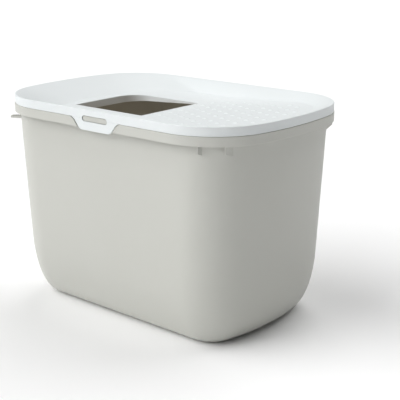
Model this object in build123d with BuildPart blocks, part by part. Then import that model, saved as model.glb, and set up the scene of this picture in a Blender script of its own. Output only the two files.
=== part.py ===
from build123d import *
import math
import os

# Top entry litter box: a deep drafted tub on four rubber feet, and a dished lid
# that rests on the tub's rim and is held by two flexing latch tabs. Millimetres,
# +Z up, +X along the length, the front long side at -Y, the origin on the floor
# under the middle.

# Overall size
length = 585.0  # over the rim band
width = 390.0  # over the rim band
height = 395.0  # floor to the lid's crest

# Rim outline in plan: straight long sides, bowed short ends, rounded corners
rim_end_radius = 624.0
rim_corner_radius = 121.0

# Tub wall, whose corners are tighter than the rim's
tub_base_z = 1.2  # the rubber feet hold the tub this far off the floor
wall = 2.8
floor_wall = 3.2
wall_inset_top = 14.4  # wall's outer face, in from the rim outline, under the shelf
draft = 0.0376  # inward lean of the wall per mm of height
wall_end_radius_top, wall_end_radius_base = 477.0, 410.0
wall_corner_radius = 83.0
base_round = 47.0  # rounding between the floor and the walls, in plan
base_stretch = 2.75  # the same rounding is this many times as high

# Rim of the tub: shelf, turned-down band and the upstand that locates the lid
skirt_height = 15.7  # of the lid's skirt, above the rim
lid_gap = 0.3  # between the skirt and the shelf
skirt_bottom_z = height - skirt_height
shelf_top_z = skirt_bottom_z - lid_gap
shelf_wall = 2.6
band_height = 16.2
band_bottom_z = shelf_top_z - band_height
band_wall = 2.5
upstand_inset = 3.6
upstand_wall = 2.5
upstand_height = 8.0
upstand_top_z = shelf_top_z + upstand_height

# Shallow arch under the base, from end to end, between two runners
arch_height = 3.2
arch_half_width = 58.0
arch_end_x = length / 2 - 80.5  # where the arch starts to follow the rounding upwards
arch_end_radius = 58.0

cut_past = 12.0  # how far a cutting shape stands past what it cuts

# Lid
skirt_inset = 0.8
skirt_wall = 2.2
plate_wall = 2.4
crest_round = 1.4
crest_inset = 3.6  # start of the dish
floor_drop = 25.0  # depth of the ramp below the crest at x = 0
floor_slope = 0.0636  # the ramp falls towards the entrance by this much per mm
dish_run_left, dish_run_right, dish_run_side = 138.0, 24.0, 31.4  # crest to floor, in plan
floor_x_low = -length / 2 + crest_inset + dish_run_left
floor_x_high = length / 2 - crest_inset - dish_run_right
floor_half_width = width / 2 - crest_inset - dish_run_side
floor_end_radius = 560.0
floor_corner_radius = 115.0
# steps of the dish's side: share of the run inwards, share of the depth
dish_profile = ((0.0, 0.0), (0.12, 0.07), (0.42, 0.36), (0.72, 0.72), (0.9, 0.94), (1.0, 1.0))

# Entrance hole, in a level surround left of the ramp, with a collar turned down
hole_x_low = -length / 2 + 124.0
hole_x_high = hole_x_low + 171.5
hole_width = 2 * (width / 2 - 114.5)
hole_round_back_left = 45.0
hole_round_front = 10.0
hole_round_back_right = 12.0
hole_edge_round = 1.2
surround_x = hole_x_high + 5.0  # where the ramp ends and the surround starts
surround_z = height - floor_drop + floor_slope * surround_x
collar_wall = 2.4

# Nubs on the dish floor that scrape litter off the paws
nub_diameter = 9.0
nub_height = 1.3
nub_step_x, nub_step_y = 26.0, 30.0
nub_start = 27.0  # first row, from the hole's edge
nub_margin_side = 34.0  # from the ramp's edge, front and back
nub_margin = 20.0  # from the ramp's end

# Latch tabs, front and back, and the catch lugs of the tub
tab_half_top = 58.0
tab_knee_x, tab_knee_z = 50.5, skirt_bottom_z - 3.7
tab_height = 20.8
tab_half_bottom, tab_bottom_z = 37.0, skirt_bottom_z - tab_height
tab_knee_round, tab_corner_round = 14.0, 13.0
slot_half_length = 30.5
slot_height = 10.2
slot_z = skirt_bottom_z - 0.2
lug_gap = 1.1
lug_tip_inset = 2.2
notch_gap = 1.9
notch_shift = 0.7  # to the right, where the lid has more play
edge_round = 0.6

# Ribs under the rim band at the two right-hand corners, from the rim's end
rib_from_end = (73.5, 38.2)
rib_wall = 1.5
rib_height = 12.8  # below the band, at the band
rib_slope = 0.33

# Hook at the front left corner, under the band
hook_root = (-length / 2 + 52.5, -width / 2 + 51.5)
hook_tip = (-length / 2 + 25.5, -width / 2 + 37.5)
hook_width = 15.0
hook_wall = 3.8
hook_drop = 17.6  # its lower face, below the band
hook_round = 4.5

# Rubber feet
foot_diameter = 20.0
foot_thickness = 2.8
foot_fit = 0.2
foot_x = arch_end_x - 4.0
foot_y = arch_half_width + foot_diameter / 2

os.makedirs("parts", exist_ok=True)


def bow_ended(x_low, x_high, half_width, end_r, corner_r):
    """Sketch with straight long sides, bowed ends and rounded corners."""
    lift = half_width - corner_r
    reach = math.sqrt((end_r - corner_r) ** 2 - lift**2)
    ux, uy = reach / (end_r - corner_r), lift / (end_r - corner_r)
    mid = (math.atan2(uy, ux) + math.pi / 2) / 2
    xr = x_high - end_r + reach
    xl = x_low + end_r - reach
    # one corner: end of the long side, middle of the corner, start of the bowed end
    turns = (
        (0.0, half_width),
        (corner_r * math.cos(mid), lift + corner_r * math.sin(mid)),
        (corner_r * ux, lift + corner_r * uy),
    )
    fr = [(xr + dx, -dy) for dx, dy in turns]
    br = [(xr + dx, dy) for dx, dy in turns]
    fl = [(xl - dx, -dy) for dx, dy in turns]
    bl = [(xl - dx, dy) for dx, dy in turns]
    with BuildSketch() as outline:
        with BuildLine():
            Line(fl[0], fr[0])
            ThreePointArc(*fr)
            ThreePointArc(fr[2], (x_high, 0), br[2])
            ThreePointArc(br[2], br[1], br[0])
            Line(br[0], bl[0])
            ThreePointArc(*bl)
            ThreePointArc(bl[2], (x_low, 0), fl[2])
            ThreePointArc(fl[2], fl[1], fl[0])
        make_face()
    return outline.sketch


def rim(inset):
    """The rim outline, moved in by inset all round."""
    return bow_ended(
        -length / 2 + inset,
        length / 2 - inset,
        width / 2 - inset,
        rim_end_radius - inset,
        rim_corner_radius - inset,
    )


def rim_y(x, inset):
    """Half the rim's width at x in one of its corners, inset mm inside the outline."""
    end_r, corner_r = rim_end_radius - inset, rim_corner_radius - inset
    lift = width / 2 - inset - corner_r
    middle = length / 2 - inset - end_r + math.sqrt((end_r - corner_r) ** 2 - lift**2)
    return lift + math.sqrt(corner_r**2 - (x - middle) ** 2)


def on_dish_floor(x, y, margin):
    """True where a spot lies on the dish's floor, margin mm inside its edge."""
    end_r, corner_r = floor_end_radius, floor_corner_radius
    lift = floor_half_width - corner_r
    centre = floor_x_high - end_r
    middle = centre + math.sqrt((end_r - corner_r) ** 2 - lift**2)
    if abs(y) > floor_half_width - margin or math.hypot(x - centre, y) > end_r - margin:
        return False
    if x > middle and abs(y) > lift:
        return math.hypot(x - middle, abs(y) - lift) < corner_r - margin
    return True


def tub_plan(z, inner):
    """Outline of the tub's wall at height z, inner mm inside its outer face."""
    inset = wall_inset_top + draft * (shelf_top_z - z) + inner
    share = (shelf_top_z - z) / shelf_top_z
    end_r = wall_end_radius_top + (wall_end_radius_base - wall_end_radius_top) * share
    return bow_ended(
        -length / 2 + inset,
        length / 2 - inset,
        width / 2 - inset,
        end_r - inner,
        wall_corner_radius - inner,
    )


def drafted_block(inner, z_low, z_high, rounding):
    """Solid of the tub's drafted shape, with an elliptic rounding at its base: it is
    rounded while it is base_stretch times as low, and then stretched."""
    with BuildPart() as block:
        for z in (z_low, z_high):
            with BuildSketch(Plane.XY.offset((z - z_low) / base_stretch)):
                add(tub_plan(z, inner))
        loft(ruled=True)
        fillet(block.faces().sort_by(Axis.Z)[0].edges(), rounding)
    tall = scale(block.part, by=(1, 1, base_stretch), mode=Mode.PRIVATE)
    return tall.moved(Location((0, 0, z_low)))


def base_arch(rise):
    """Arch along the base that follows the end roundings upwards and runs out."""
    crown = tub_base_z + arch_height + rise
    radius = (arch_half_width**2 + arch_height**2) / (2 * arch_height)
    half = 1.5 * arch_half_width
    edge = crown - (radius - math.sqrt(radius**2 - half**2))
    axis_z = tub_base_z + arch_height + arch_end_radius
    with BuildPart() as block:
        with BuildSketch(Plane.YZ) as section:
            with BuildLine():
                ThreePointArc((-half, edge), (0, crown), (half, edge))
                Polyline(
                    (half, edge), (half, -cut_past), (-half, -cut_past), (-half, edge)
                )
            make_face()
        extrude(amount=arch_end_x, both=True)
        for side in (1, -1):
            with BuildSketch(Plane.YZ.offset(side * arch_end_x)):
                add(section.sketch_local)
            revolve(
                axis=Axis((side * arch_end_x, 0, axis_z), (0, -side, 0)),
                revolution_arc=75,
            )
    return block.part


def stadium(half_length, high):
    """Round-ended slot shape, on a sketch whose x is X and y is Z."""
    with BuildSketch() as shape:
        with Locations((0, slot_z)):
            SlotOverall(2 * half_length, high)
    return shape.sketch


def tab_outline(grow):
    """Slanted tab under the skirt, on a sketch whose x is X and y is Z."""
    with BuildSketch() as shape:
        with BuildLine():
            Polyline(
                (-tab_half_top - 1.5 * grow, skirt_bottom_z),
                (-tab_knee_x - grow, tab_knee_z - grow / 2),
                (-tab_half_bottom - grow, tab_bottom_z - grow),
                (tab_half_bottom + grow, tab_bottom_z - grow),
                (tab_knee_x + grow, tab_knee_z - grow / 2),
                (tab_half_top + 1.5 * grow, skirt_bottom_z),
                close=True,
            )
        make_face()
        corners = shape.vertices().group_by(Axis.Y)
        fillet(corners[0], tab_corner_round)
        knees = shape.vertices().filter_by(lambda v: abs(v.Y - tab_knee_z + grow / 2) < 0.01)
        fillet(knees, tab_knee_round)
    return shape.sketch


def across(side, inset):
    """Plane facing the given long side, inset mm inside the rim outline."""
    return Plane(
        origin=(0, side * (width / 2 - inset), 0), x_dir=(1, 0, 0), z_dir=(0, -1, 0)
    )


def dish_floor(drop):
    """Plane of the ramp, or of a share of its depth."""
    return Plane(
        origin=(0, 0, height - floor_drop * drop),
        x_dir=(1, 0, floor_slope * drop),
        z_dir=(-floor_slope * drop, 0, 1),
    )


def surround(lower):
    """Level plane of the entrance's surround, moved down by lower."""
    return Plane.XY.offset(surround_z - lower)


def dish(outward, lower):
    """Solid that fills the dish, grown by outward in plan and moved down by lower."""
    with BuildPart() as block:
        for run, drop in dish_profile:
            blend = lambda a, b: a + (b - a) * run
            plane = dish_floor(drop).move(Location((0, 0, -lower)))
            with BuildSketch(plane):
                add(
                    bow_ended(
                        blend(-length / 2 + crest_inset, floor_x_low) - outward,
                        blend(length / 2 - crest_inset, floor_x_high) + outward,
                        blend(width / 2 - crest_inset, floor_half_width) + outward,
                        blend(rim_end_radius - crest_inset, floor_end_radius) + outward,
                        blend(rim_corner_radius - crest_inset, floor_corner_radius) + outward,
                    )
                )
        loft()
        # the surround cuts off what the ramp's plane would take too deep
        with BuildSketch(surround(lower)):
            Rectangle(2 * length, 2 * width)
        extrude(amount=-height, mode=Mode.SUBTRACT)
    return block.part


def hole(grow):
    """Outline of the entrance hole in plan, grown by grow."""
    with BuildSketch() as outline:
        with Locations(((hole_x_low + hole_x_high) / 2, 0)):
            Rectangle(hole_x_high - hole_x_low, hole_width)
        front, back = outline.vertices().group_by(Axis.Y)
        fillet(back.sort_by(Axis.X)[0], hole_round_back_left)
        fillet(back.sort_by(Axis.X)[-1], hole_round_back_right)
        fillet(front, hole_round_front)
        if grow:
            offset(amount=grow)
    return outline.sketch


def at_entrance(edge):
    """True for the edges where the dish's surround meets the entrance hole."""
    middle = edge.position_at(0.5)
    return (
        abs(middle.Z - surround_z) < 0.05
        and hole_x_low - 1 < middle.X < hole_x_high + 1
        and abs(middle.Y) < hole_width / 2 + 1
    )


# --- Tub ------------------------------------------------------------------

with BuildPart() as cavity:
    add(
        drafted_block(
            wall, tub_base_z + floor_wall, shelf_top_z + cut_past, base_round - wall
        )
    )
    add(base_arch(floor_wall), mode=Mode.SUBTRACT)

with BuildPart() as band:
    with BuildSketch(Plane.XY.offset(band_bottom_z)):
        add(rim(0))
    extrude(amount=shelf_top_z - band_bottom_z)
    with BuildSketch(Plane.XY.offset(band_bottom_z)):
        add(rim(band_wall))
    extrude(amount=shelf_top_z - shelf_wall - band_bottom_z, mode=Mode.SUBTRACT)
    outside = band.faces().sort_by(Axis.Z)
    fillet(outside[0].outer_wire().edges() + outside[-1].outer_wire().edges(), edge_round)
    # gap in the band for each latch tab
    for side in (1, -1):
        with BuildSketch(across(side, upstand_inset)):
            with Locations((notch_shift, 0)):
                add(tab_outline(notch_gap))
        extrude(amount=-side * cut_past, mode=Mode.SUBTRACT)

with BuildPart() as ribs:
    rib_low_z = band_bottom_z - rib_height
    rib_run = 2 * wall_inset_top
    for side in (1, -1):
        for from_end in rib_from_end:
            x = length / 2 - from_end
            y_band = rim_y(x, band_wall)
            with BuildSketch(Plane.YZ.offset(x - rib_wall / 2)):
                with BuildLine():
                    Polyline(
                        (side * (y_band + cut_past), shelf_top_z - shelf_wall / 2),
                        (side * (y_band + cut_past), rib_low_z + cut_past * rib_slope),
                        (side * (y_band - rib_run), rib_low_z - rib_run * rib_slope),
                        (side * (y_band - rib_run), shelf_top_z - shelf_wall / 2),
                        close=True,
                    )
                make_face()
            extrude(amount=rib_wall)
    with BuildSketch(Plane.XY.offset(rib_low_z - rib_run)):
        add(rim(band_wall / 2))
    extrude(amount=height, mode=Mode.INTERSECT)

with BuildPart() as hook:
    hook_run = math.dist(hook_root, hook_tip)
    with BuildSketch(
        Plane(
            origin=(hook_root[0], hook_root[1], band_bottom_z - hook_drop),
            x_dir=(hook_tip[0] - hook_root[0], hook_tip[1] - hook_root[1], 0),
            z_dir=(0, 0, 1),
        )
    ):
        with Locations((hook_run / 2, 0)):
            RectangleRounded(hook_run, hook_width, hook_round)
    extrude(amount=hook_wall)
    fillet(hook.faces().filter_by(Axis.Z).edges(), edge_round)

with BuildPart() as tub:
    add(drafted_block(0, tub_base_z, shelf_top_z, base_round))
    add(base_arch(0), mode=Mode.SUBTRACT)
    add(band.part)
    with BuildSketch(Plane.XY.offset(shelf_top_z)):
        add(rim(upstand_inset))
    extrude(amount=upstand_top_z - shelf_top_z)
    add(ribs.part)
    add(hook.part)
    # catch lug for each latch tab
    for side in (1, -1):
        with BuildSketch(across(side, upstand_inset + upstand_wall)):
            add(stadium(slot_half_length - lug_gap, slot_height - 2 * lug_gap))
        extrude(amount=-side * (upstand_inset + upstand_wall - lug_tip_inset))
    add(cavity.part, mode=Mode.SUBTRACT)
    with BuildSketch(Plane.XY.offset(shelf_top_z)):
        add(rim(upstand_inset + upstand_wall))
    extrude(amount=upstand_height + cut_past, mode=Mode.SUBTRACT)
    # seats for the rubber feet
    with GridLocations(2 * foot_x, 2 * foot_y, 2, 2):
        Cylinder(
            foot_diameter / 2 + foot_fit,
            foot_thickness,
            align=(Align.CENTER, Align.CENTER, Align.MIN),
            mode=Mode.SUBTRACT,
        )

# --- Lid ------------------------------------------------------------------

with BuildPart() as nub:
    ball = ((nub_diameter / 2) ** 2 + nub_height**2) / (2 * nub_height)
    with BuildSketch(Plane.XZ):
        with BuildLine():
            ThreePointArc(
                (0, nub_height),
                (ball * math.sin(0.3), nub_height - ball + ball * math.cos(0.3)),
                (nub_diameter / 2, 0),
            )
            Polyline(
                (nub_diameter / 2, 0),
                (nub_diameter / 2, -plate_wall / 3),
                (0, -plate_wall / 3),
                (0, nub_height),
            )
        make_face()
    revolve()

# collar of the entrance, from the surround down to the ramp's underside carried on
with BuildPart() as collar:
    collar_low_z = height - 2 * floor_drop
    with BuildSketch(Plane.XY.offset(collar_low_z)):
        add(hole(collar_wall))
    extrude(amount=height - collar_low_z)
    with BuildSketch(surround(plate_wall / 2)):
        Rectangle(2 * length, 2 * width)
    extrude(amount=height, mode=Mode.SUBTRACT)
    with BuildSketch(dish_floor(1).move(Location((0, 0, -plate_wall - 0.4)))):
        Rectangle(2 * length, 2 * width)
    extrude(amount=-height, mode=Mode.SUBTRACT)

with BuildPart() as lid:
    with BuildSketch(Plane.XY.offset(skirt_bottom_z)):
        add(rim(skirt_inset))
    extrude(amount=height - skirt_bottom_z)
    fillet(lid.faces().sort_by(Axis.Z)[-1].edges(), crest_round)
    fillet(lid.faces().sort_by(Axis.Z)[0].edges(), edge_round)
    with BuildSketch(Plane.XY.offset(skirt_bottom_z)):
        add(rim(skirt_inset + skirt_wall))
    extrude(amount=height - skirt_bottom_z - plate_wall, mode=Mode.SUBTRACT)
    add(dish(0.8, plate_wall))
    add(dish(0, 0), mode=Mode.SUBTRACT)
    # entrance hole and its collar
    add(collar.part)
    with BuildSketch(Plane.XY.offset(collar_low_z)):
        add(hole(0))
    extrude(amount=height, mode=Mode.SUBTRACT)
    fillet(lid.edges().filter_by(at_entrance), hole_edge_round)
    # nubs in staggered rows
    rows = int((floor_x_high - hole_x_high) / nub_step_x) + 1
    places = int(floor_half_width / nub_step_y) + 1
    spots = []
    for i in range(rows):
        x = hole_x_high + nub_start + i * nub_step_x
        for j in range(-places, places + 1):
            y = (j + (i % 2) / 2) * nub_step_y
            if abs(y) < floor_half_width - nub_margin_side and on_dish_floor(x, y, nub_margin):
                spots.append((x, y))
    with Locations(dish_floor(1)):
        with Locations(*spots):
            add(nub.part)
    # upper half of the slot in the skirt, front and back
    for side in (1, -1):
        with BuildSketch(across(side, skirt_inset + 1.2 * skirt_wall)):
            add(stadium(slot_half_length, slot_height))
        extrude(amount=-side * cut_past, mode=Mode.SUBTRACT)

# --- Latch tabs -----------------------------------------------------------

tabs = {}
for side, name in ((-1, "front_latch"), (1, "back_latch")):
    with BuildPart() as tab:
        with BuildSketch(across(side, skirt_inset + skirt_wall)):
            add(tab_outline(0))
            add(stadium(slot_half_length, slot_height), mode=Mode.SUBTRACT)
        extrude(amount=-side * skirt_wall)
        outer = tab.faces().sort_by(Axis.Y)[0 if side < 0 else -1]
        fillet(
            outer.edges().filter_by(lambda e: e.position_at(0.5).Z < skirt_bottom_z - 0.01),
            edge_round,
        )
    tabs[name] = tab

# --- Rubber feet ----------------------------------------------------------

feet = {}
for name, sx, sy in (
    ("foot_front_right", 1, -1),
    ("foot_front_left", -1, -1),
    ("foot_back_right", 1, 1),
    ("foot_back_left", -1, 1),
):
    with BuildPart() as foot:
        with Locations((sx * foot_x, sy * foot_y, 0)):
            Cylinder(
                foot_diameter / 2,
                foot_thickness,
                align=(Align.CENTER, Align.CENTER, Align.MIN),
            )
        fillet(foot.faces().sort_by(Axis.Z)[0].edges(), 0.8)
    feet[name] = foot

# --- Write every piece ------------------------------------------------------

pieces = {"tub": tub, "lid": lid, **tabs, **feet}
for name, piece in pieces.items():
    piece.part.label = name
    export_step(piece.part, "parts/" + name + ".step")
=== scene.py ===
import math

import bpy
import numpy as np
from mathutils import Matrix, Vector

# Top entry litter box: warm grey matte tub, cool white satin lid with two latch
# tabs, black rubber feet, on a plain pale studio floor. Metres, +Z up, front at -Y.

# Colours of this box, linear, and what its plastics share
TUB_GREY = (0.580, 0.583, 0.545)
TUB_SHADE = (0.552, 0.555, 0.512)
LID_WHITE = (0.80, 0.83, 0.835)
LID_SHADE = (0.76, 0.80, 0.805)
FOOT_BLACK = (0.018, 0.018, 0.019)
FOOT_SHADE = (0.03, 0.03, 0.03)
PLASTIC_IOR = 1.49
GRAIN_STRENGTH = 0.5

# Studio: floor, light from all round, soft suns and the weak light in the tub
FLOOR_PALE = (0.97, 0.97, 0.97)
FLOOR_HALF = 8.0
ROOM_LIGHT = 0.03
SUNS = (  # name, direction towards the light, strength
    ("key", (-0.50, -0.50, 0.70), 2.35),
    ("front_fill", (-0.15, -0.93, 0.33), 0.75),
    ("top_back", (0.0, 0.60, 0.80), 1.85),
)
SUN_SPREAD = 60  # angular width of each sun, degrees
GLOW_COLOUR = (1.0, 0.80, 0.64)
GLOW_WATTS = 0.26
GLOW_RADIUS = 0.06
GLOW_PLACE = (0.02, -0.02, 0.17)

# Camera: where it looks from and its lens
VIEW_AZIMUTH, VIEW_ELEVATION = 41.72, 16.17  # degrees
VIEW_ROLL = -0.00621  # radians
VIEW_DISTANCE = 1.8235
VIEW_TARGET = (0.000527, 0, 0.19396)
LENS_LENGTH, SENSOR_WIDTH = 86.153, 36.0  # millimetres
LENS_SHIFT_X, LENS_SHIFT_Y = 0.0735, 0.0008


def new_group(name, inputs, outputs):
    """Empty shader node group: inputs are (name, value), outputs are (name, kind)."""
    group = bpy.data.node_groups.new(name, "ShaderNodeTree")
    for label, value in inputs:
        kind = "NodeSocketColor" if isinstance(value, tuple) else "NodeSocketFloat"
        socket = group.interface.new_socket(name=label, in_out="INPUT", socket_type=kind)
        socket.default_value = (*value, 1.0) if isinstance(value, tuple) else value
    for label, kind in outputs:
        group.interface.new_socket(name=label, in_out="OUTPUT", socket_type=kind)
    tree = group.nodes
    return group, tree.new("NodeGroupInput"), tree.new("NodeGroupOutput")


def moulded_grain():
    """Spark-eroded mould grain: two sizes of noise added as height, and a roughness
    that drifts slowly over the moulding."""
    group, given, out = new_group(
        "moulded_grain",
        [("Grain Size", 1400.0), ("Roughness", 0.5), ("Roughness Drift", 0.06)],
        [("Height", "NodeSocketFloat"), ("Roughness", "NodeSocketFloat")],
    )
    n, link = group.nodes, group.links.new
    place = n.new("ShaderNodeTexCoord")
    fine = n.new("ShaderNodeTexNoise")
    fine.inputs["Detail"].default_value = 3.0
    link(place.outputs["Object"], fine.inputs["Vector"])
    link(given.outputs["Grain Size"], fine.inputs["Scale"])
    pits = n.new("ShaderNodeTexVoronoi")
    half = n.new("ShaderNodeMath")
    half.operation = "MULTIPLY"
    half.inputs[1].default_value = 0.5
    link(given.outputs["Grain Size"], half.inputs[0])
    link(place.outputs["Object"], pits.inputs["Vector"])
    link(half.outputs[0], pits.inputs["Scale"])
    height = n.new("ShaderNodeMath")
    height.operation = "ADD"
    link(fine.outputs["Fac"], height.inputs[0])
    link(pits.outputs["Distance"], height.inputs[1])
    link(height.outputs[0], out.inputs["Height"])
    slow = n.new("ShaderNodeTexNoise")
    slow.inputs["Scale"].default_value = 9.0
    slow.inputs["Detail"].default_value = 4.0
    link(place.outputs["Object"], slow.inputs["Vector"])
    drift = n.new("ShaderNodeMath")
    drift.operation = "MULTIPLY_ADD"
    link(slow.outputs["Fac"], drift.inputs[0])
    link(given.outputs["Roughness Drift"], drift.inputs[1])
    link(given.outputs["Roughness"], drift.inputs[2])
    link(drift.outputs[0], out.inputs["Roughness"])
    return group


def shade_drift():
    """Colour that wanders between a light and a dark tone as the melt flowed."""
    group, given, out = new_group(
        "shade_drift",
        [("Light", (0.8, 0.8, 0.8)), ("Dark", (0.7, 0.7, 0.7)), ("Size", 5.0)],
        [("Color", "NodeSocketColor")],
    )
    n, link = group.nodes, group.links.new
    place = n.new("ShaderNodeTexCoord")
    flow = n.new("ShaderNodeTexNoise")
    flow.inputs["Detail"].default_value = 5.0
    flow.inputs["Distortion"].default_value = 0.4
    link(place.outputs["Object"], flow.inputs["Vector"])
    link(given.outputs["Size"], flow.inputs["Scale"])
    mix = n.new("ShaderNodeMix")
    mix.data_type = "RGBA"
    link(flow.outputs["Fac"], mix.inputs["Factor"])
    link(given.outputs["Light"], mix.inputs["A"])
    link(given.outputs["Dark"], mix.inputs["B"])
    link(mix.outputs["Result"], out.inputs["Color"])
    return group


def plastic(name, light, dark, grain, shade, grain_size, roughness, depth, gloss):
    """Moulded plastic or rubber with its own tone, grain and sheen."""
    made = bpy.data.materials.new(name)
    made.use_nodes = True
    n, link = made.node_tree.nodes, made.node_tree.links.new
    shader = n["Principled BSDF"]
    tone = n.new("ShaderNodeGroup")
    tone.node_tree = shade
    tone.inputs["Light"].default_value = (*light, 1)
    tone.inputs["Dark"].default_value = (*dark, 1)
    link(tone.outputs["Color"], shader.inputs["Base Color"])
    skin = n.new("ShaderNodeGroup")
    skin.node_tree = grain
    skin.inputs["Grain Size"].default_value = grain_size
    skin.inputs["Roughness"].default_value = roughness
    link(skin.outputs["Roughness"], shader.inputs["Roughness"])
    bump = n.new("ShaderNodeBump")
    bump.inputs["Strength"].default_value = GRAIN_STRENGTH
    bump.inputs["Distance"].default_value = depth
    link(skin.outputs["Height"], bump.inputs["Height"])
    link(bump.outputs["Normal"], shader.inputs["Normal"])
    shader.inputs["IOR"].default_value = PLASTIC_IOR
    shader.inputs["Specular IOR Level"].default_value = gloss
    return made


def dress(node, material):
    """Gives a moulding its material."""
    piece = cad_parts[node]
    piece.data.materials.clear()
    piece.data.materials.append(material)


def soft_sun(name, towards, strength):
    """Even soft light from one side: towards points at the light."""
    lamp = bpy.data.lights.new(name, "SUN")
    lamp.energy = strength
    lamp.angle = math.radians(SUN_SPREAD)
    holder = bpy.data.objects.new(name, lamp)
    bpy.context.collection.objects.link(holder)
    holder.rotation_euler = Vector(towards).to_track_quat("Z", "Y").to_euler()


def inner_glow():
    """Weak warm light inside the tub, in place of what its thin walls let through."""
    lamp = bpy.data.lights.new("inner_glow", "POINT")
    lamp.energy = GLOW_WATTS
    lamp.color = GLOW_COLOUR
    lamp.shadow_soft_size = GLOW_RADIUS
    holder = bpy.data.objects.new("inner_glow", lamp)
    bpy.context.collection.objects.link(holder)
    holder.location = GLOW_PLACE
    holder.visible_camera = False
    holder.visible_glossy = False


def studio_floor(half, colour):
    """Flat square floor under the feet."""
    corners = half * np.array([(-1, -1, 0), (1, -1, 0), (1, 1, 0), (-1, 1, 0)], float)
    mesh = bpy.data.meshes.new("studio_floor")
    mesh.from_pydata(corners.tolist(), [], [(0, 1, 2, 3)])
    floor = bpy.data.objects.new("studio_floor", mesh)
    bpy.context.collection.objects.link(floor)
    paint = bpy.data.materials.new("floor_paint")
    paint.use_nodes = True
    shader = paint.node_tree.nodes["Principled BSDF"]
    shader.inputs["Base Color"].default_value = (*colour, 1)
    shader.inputs["Roughness"].default_value = 0.9
    shader.inputs["Specular IOR Level"].default_value = 0.1
    mesh.materials.append(paint)


def room(strength):
    """Even white room: it lights the box softly and reads as a white backdrop."""
    world = bpy.data.worlds.new("room")
    bpy.context.scene.world = world
    world.use_nodes = True
    n, link = world.node_tree.nodes, world.node_tree.links.new
    glow = n["Background"]
    glow.inputs["Color"].default_value = (1, 1, 1, 1)
    glow.inputs["Strength"].default_value = strength
    backdrop = n.new("ShaderNodeBackground")
    backdrop.inputs["Color"].default_value = (1, 1, 1, 1)
    backdrop.inputs["Strength"].default_value = 1.0
    path = n.new("ShaderNodeLightPath")
    mix = n.new("ShaderNodeMixShader")
    link(path.outputs["Is Camera Ray"], mix.inputs[0])
    link(glow.outputs[0], mix.inputs[1])
    link(backdrop.outputs[0], mix.inputs[2])
    link(mix.outputs[0], n["World Output"].inputs["Surface"])


def camera():
    """Camera at the three-quarter view from the front right, slightly above."""
    azimuth, elevation = math.radians(VIEW_AZIMUTH), math.radians(VIEW_ELEVATION)
    back = Vector(
        (
            math.cos(elevation) * math.sin(azimuth),
            -math.cos(elevation) * math.cos(azimuth),
            math.sin(elevation),
        )
    )
    level = (-back).cross(Vector((0, 0, 1))).normalized()
    up = level.cross(-back)
    right = math.cos(VIEW_ROLL) * level + math.sin(VIEW_ROLL) * up
    top = -math.sin(VIEW_ROLL) * level + math.cos(VIEW_ROLL) * up
    lens = bpy.data.cameras.new("camera")
    lens.lens, lens.sensor_width = LENS_LENGTH, SENSOR_WIDTH
    lens.shift_x, lens.shift_y = LENS_SHIFT_X, LENS_SHIFT_Y
    view = bpy.data.objects.new("camera", lens)
    bpy.context.collection.objects.link(view)
    place = Vector(VIEW_TARGET) + VIEW_DISTANCE * back
    view.matrix_world = Matrix(
        (
            (right.x, top.x, back.x, place.x),
            (right.y, top.y, back.y, place.y),
            (right.z, top.z, back.z, place.z),
            (0, 0, 0, 1),
        )
    )
    bpy.context.scene.camera = view


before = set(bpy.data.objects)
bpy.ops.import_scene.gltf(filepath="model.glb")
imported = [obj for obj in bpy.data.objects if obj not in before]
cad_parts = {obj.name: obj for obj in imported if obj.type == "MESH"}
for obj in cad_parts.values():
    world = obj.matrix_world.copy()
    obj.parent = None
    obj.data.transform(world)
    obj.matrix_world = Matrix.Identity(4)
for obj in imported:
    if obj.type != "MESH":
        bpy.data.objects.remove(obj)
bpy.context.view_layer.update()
bpy.context.scene.view_settings.view_transform = "Standard"

grain = moulded_grain()
shade = shade_drift()
tub_plastic = plastic(
    "tub_plastic", TUB_GREY, TUB_SHADE, grain, shade,
    grain_size=1100, roughness=0.42, depth=0.00006, gloss=0.45,
)
lid_plastic = plastic(
    "lid_plastic", LID_WHITE, LID_SHADE, grain, shade,
    grain_size=1600, roughness=0.42, depth=0.00004, gloss=0.45,
)
foot_rubber = plastic(
    "foot_rubber", FOOT_BLACK, FOOT_SHADE, grain, shade,
    grain_size=900, roughness=0.7, depth=0.0001, gloss=0.3,
)

dress("tub", tub_plastic)
for node in ("lid", "front_latch", "back_latch"):
    dress(node, lid_plastic)
for node in ("foot_front_right", "foot_front_left", "foot_back_right", "foot_back_left"):
    dress(node, foot_rubber)

studio_floor(FLOOR_HALF, FLOOR_PALE)
room(ROOM_LIGHT)
for name, towards, strength in SUNS:
    soft_sun(name, towards, strength)
inner_glow()
camera()
